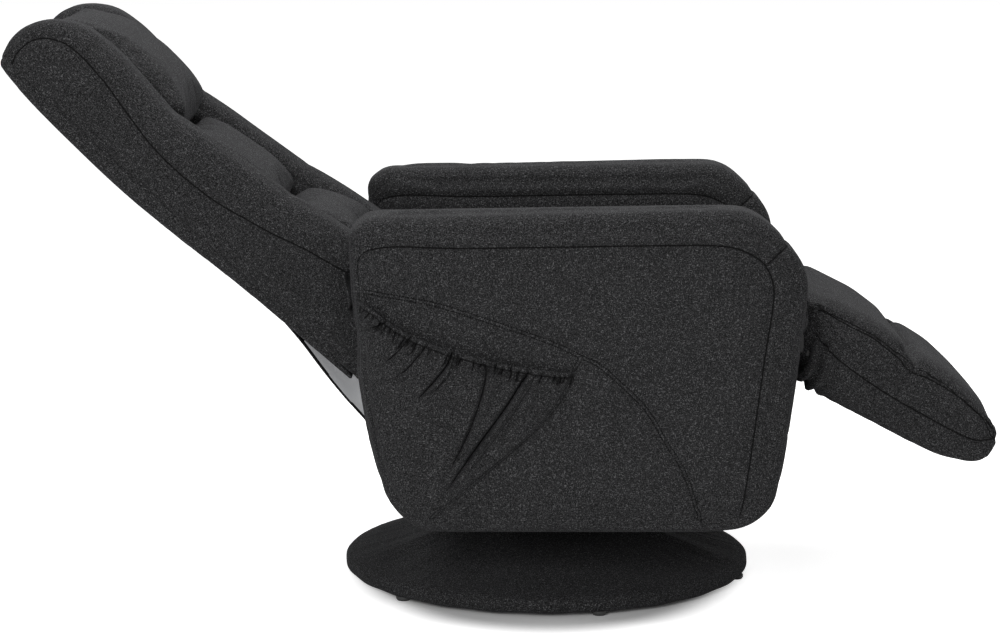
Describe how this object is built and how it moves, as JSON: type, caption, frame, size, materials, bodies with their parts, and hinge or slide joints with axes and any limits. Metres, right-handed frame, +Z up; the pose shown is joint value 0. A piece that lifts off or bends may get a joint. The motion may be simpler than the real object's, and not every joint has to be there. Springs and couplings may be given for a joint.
{
  "type": "star base swivel recliner",
  "caption": "Reclining armchair on a round covered swivel base, with padded arms, winged back, side pocket and a footrest linked to the back",
  "frame": {"origin": "on the floor under the middle of the reclined chair; the swivel axis stands 71 mm forward of it", "axes": "+X the way the chair faces, +Y the sitter's left, +Z up"},
  "size_m": [1.5284, 0.743, 0.9049],
  "materials": {
    "black_cloth": "matte",
    "lining": "matte",
    "felt": "matte",
    "black_steel": "satin",
    "zinc_steel": "satin",
    "brass_cage": "satin",
    "plywood": "matte",
    "timber": "matte",
    "glide_plastic": "matte"
  },
  "bodies": {
    "base": {"base_ring": "black_steel", "base_feet": "glide_plastic", "hub_plate": "black_steel", "base_star": "black_steel", "base_cover": "black_cloth", "cover_band": "black_cloth", "bearing_lower": "zinc_steel", "bearing_balls": "zinc_steel", "ball_cage": "brass_cage", "king_bolt": "zinc_steel", "race_bolts": "zinc_steel"},
    "chassis": {"bearing_upper": "zinc_steel", "swivel_plate": "black_steel", "swivel_bars": "black_steel", "cross_rails": "black_steel", "chassis_bolts": "zinc_steel", "side_plate_right": "black_steel", "side_plate_left": "black_steel", "cross_tubes": "black_steel", "pivot_pins": "zinc_steel", "seat_board": "plywood", "seat_springs": "zinc_steel", "seat_deck": "felt", "seat_cushion": "black_cloth", "arm_board_right": "plywood", "arm_board_left": "plywood", "arm_bolts": "zinc_steel", "arm_right": "black_cloth", "arm_left": "black_cloth", "side_pocket": "black_cloth", "rear_rail": "timber", "rear_skirt": "lining"},
    "back": {"back_frame": "timber", "back_webbing": "lining", "back_lever_right": "black_steel", "back_lever_left": "black_steel", "back_link_pins": "zinc_steel", "back_shell": "black_cloth", "wing_right": "black_cloth", "wing_left": "black_cloth", "back_base_pad": "black_cloth", "head_pillow": "black_cloth", "back_pad_middle": "black_cloth", "back_pad_lower": "black_cloth"},
    "footrest": {"footrest_board": "plywood", "footrest_bracket_right": "black_steel", "footrest_bracket_left": "black_steel", "footrest_link_pins": "zinc_steel", "footrest_shell": "black_cloth", "footrest_pad_upper": "black_cloth", "footrest_pad_lower": "black_cloth"},
    "rod_right": {"link_rod_right": "black_steel"},
    "rod_left": {"link_rod_left": "black_steel"}
  },
  "joints": [
    {"name": "swivel", "type": "hinge", "parent": "base", "child": "chassis", "pos_m": [0.071, 0, 0.115], "axis": [0, 0, 1], "continuous": true},
    {"name": "recline", "type": "hinge", "parent": "chassis", "child": "back", "pos_m": [-0.189, 0, 0.335], "axis": [0, 1, 0], "range_deg": [0, 38]},
    {"name": "footrest_fold", "type": "hinge", "parent": "chassis", "child": "footrest", "pos_m": [0.408, 0, 0.442], "axis": [0, 1, 0], "range_deg": [0, 59.3]},
    {"name": "rod_right_swing", "type": "hinge", "parent": "back", "child": "rod_right", "pos_m": [-0.15253, -0.234, 0.27525], "axis": [0, 1, 0], "range_deg": [-38, 0]},
    {"name": "rod_left_swing", "type": "hinge", "parent": "back", "child": "rod_left", "pos_m": [-0.15253, 0.234, 0.27525], "axis": [0, 1, 0], "range_deg": [-38, 0]}
  ],
  "couplings": [
    {"joint": "footrest_fold", "follows": "recline", "ratio": 1.5605},
    {"joint": "rod_right_swing", "follows": "recline", "ratio": -1},
    {"joint": "rod_left_swing", "follows": "recline", "ratio": -1}
  ]
}
